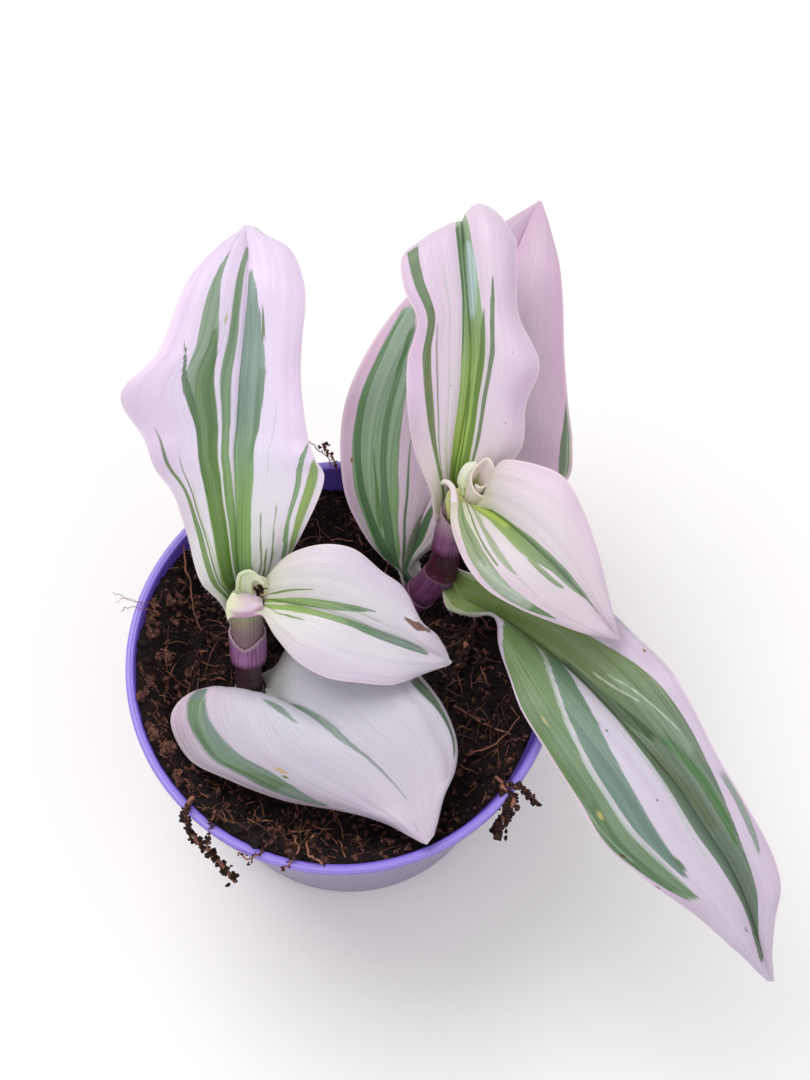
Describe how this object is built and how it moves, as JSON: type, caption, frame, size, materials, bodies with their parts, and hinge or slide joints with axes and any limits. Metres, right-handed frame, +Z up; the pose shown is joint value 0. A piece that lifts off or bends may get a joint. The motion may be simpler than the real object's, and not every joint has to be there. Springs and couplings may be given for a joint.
{
  "type": "potted tradescantia",
  "caption": "Small potted tradescantia: leaning shoots with pointed, waved, striped leaves rooted in peat in a tapered plastic nursery pot with drain holes.",
  "frame": {"origin": "centre of the flat underside of the pot", "axes": "+Z up along the pot's axis; +Y away from the side where the long leaf hangs over the rim, along the plant's longest extent; +X to the right as seen from there"},
  "size_m": [0.1025, 0.1289, 0.0917],
  "materials": {
    "pot_plastic": "satin moulded plastic",
    "peat": "rough damp fibres and crumbs",
    "stem": "smooth, slightly glossy skin",
    "leaf": "satin skin with green stripes on pale pink",
    "young_leaf": "satin skin, pale yellow-green"
  },
  "bodies": {
    "root": {"pot": "pot_plastic", "soil": "peat", "left_stem": "stem", "right_stem": "stem", "left_leaf_low": "leaf", "left_leaf_tall": "leaf", "left_leaf_front": "leaf", "right_leaf_back": "leaf", "right_leaf_long": "leaf", "right_leaf_upright": "leaf", "right_leaf_small": "leaf", "left_young_leaf": "young_leaf", "right_young_leaf": "young_leaf"}
  },
  "joints": []
}
